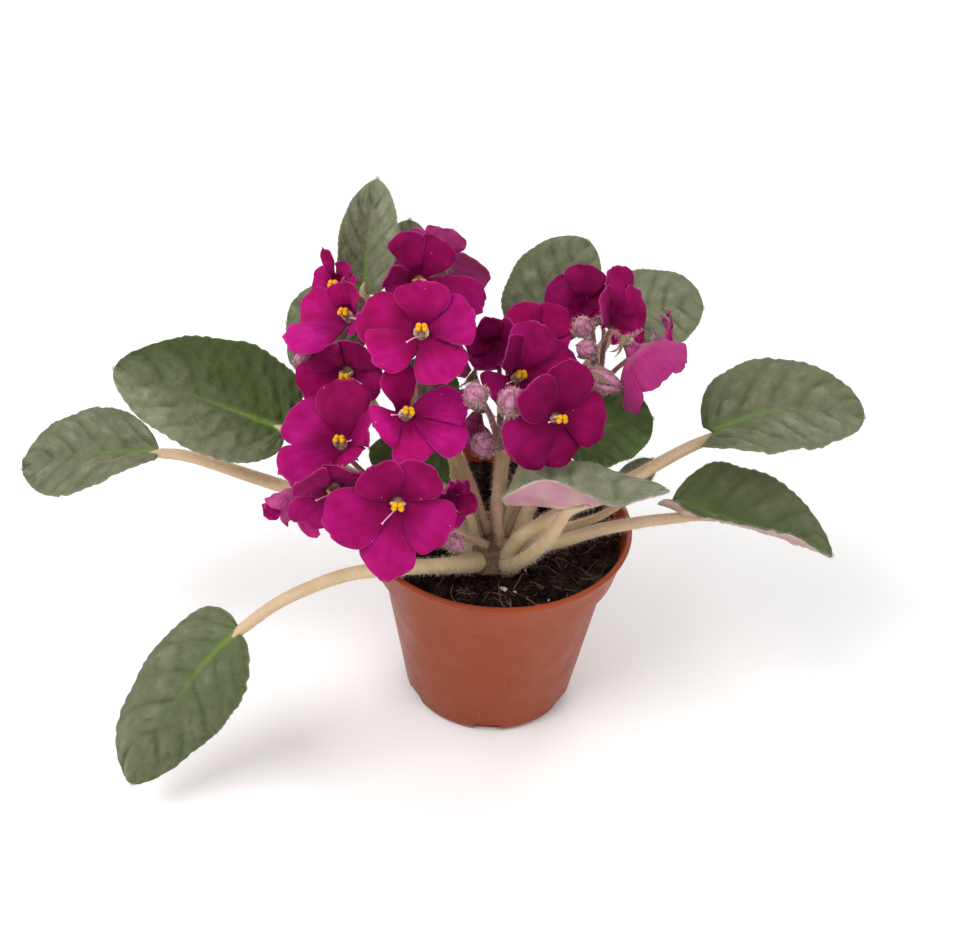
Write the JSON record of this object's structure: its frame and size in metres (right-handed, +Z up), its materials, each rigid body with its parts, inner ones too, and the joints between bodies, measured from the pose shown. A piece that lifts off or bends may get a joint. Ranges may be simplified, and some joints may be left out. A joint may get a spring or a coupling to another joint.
{
  "type": "potted african violet",
  "caption": "flowering house plant in a round tapered plastic nursery pot, with rounded stalked leaves spreading past the rim and a loose mound of magenta blooms above",
  "frame": {"origin": "centre of the pot's flat base, on the surface it stands on", "axes": "+Z is up along the pot's axis, +X to the viewer's right and +Y away from the viewer, seen from the side that most blooms face"},
  "size_m": [0.2765, 0.133, 0.1666],
  "materials": {
    "pot_plastic": "satin",
    "potting_soil": "matte",
    "leaf_stalk": "matte",
    "leaf_green": "matte",
    "flower_stalk": "matte",
    "petal_magenta": "matte",
    "anther_yellow": "matte"
  },
  "bodies": {
    "root": {"pot": "pot_plastic", "soil": "potting_soil", "crown_and_leaf_stalks": "leaf_stalk", "anthers_01": "anther_yellow", "anthers_02": "anther_yellow", "anthers_03": "anther_yellow", "anthers_04": "anther_yellow", "anthers_05": "anther_yellow", "anthers_06": "anther_yellow", "anthers_07": "anther_yellow", "anthers_08": "anther_yellow", "anthers_09": "anther_yellow", "anthers_11": "anther_yellow", "anthers_12": "anther_yellow", "anthers_21": "anther_yellow", "corolla_01": "petal_magenta", "corolla_02": "petal_magenta", "corolla_03": "petal_magenta", "corolla_04": "petal_magenta", "corolla_05": "petal_magenta", "corolla_06": "petal_magenta", "corolla_07": "petal_magenta", "corolla_08": "petal_magenta", "corolla_09": "petal_magenta", "corolla_10": "petal_magenta", "corolla_11": "petal_magenta", "corolla_12": "petal_magenta", "corolla_13": "petal_magenta", "corolla_14": "petal_magenta", "corolla_15": "petal_magenta", "corolla_16": "petal_magenta", "corolla_17": "petal_magenta", "corolla_18": "petal_magenta", "corolla_19": "petal_magenta", "corolla_20": "petal_magenta", "corolla_21": "petal_magenta", "corolla_22": "petal_magenta", "flower_spray_a": "flower_stalk", "flower_spray_b": "flower_stalk", "flower_spray_c": "flower_stalk", "flower_spray_d": "flower_stalk", "leaf_blade_01": "leaf_green", "leaf_blade_02": "leaf_green", "leaf_blade_03": "leaf_green", "leaf_blade_04": "leaf_green", "leaf_blade_05": "leaf_green", "leaf_blade_06": "leaf_green", "leaf_blade_07": "leaf_green", "leaf_blade_08": "leaf_green", "leaf_blade_09": "leaf_green", "leaf_blade_10": "leaf_green", "leaf_blade_11": "leaf_green", "leaf_blade_12": "leaf_green", "leaf_blade_13": "leaf_green", "leaf_blade_14": "leaf_green", "leaf_blade_15": "leaf_green"}
  },
  "joints": []
}
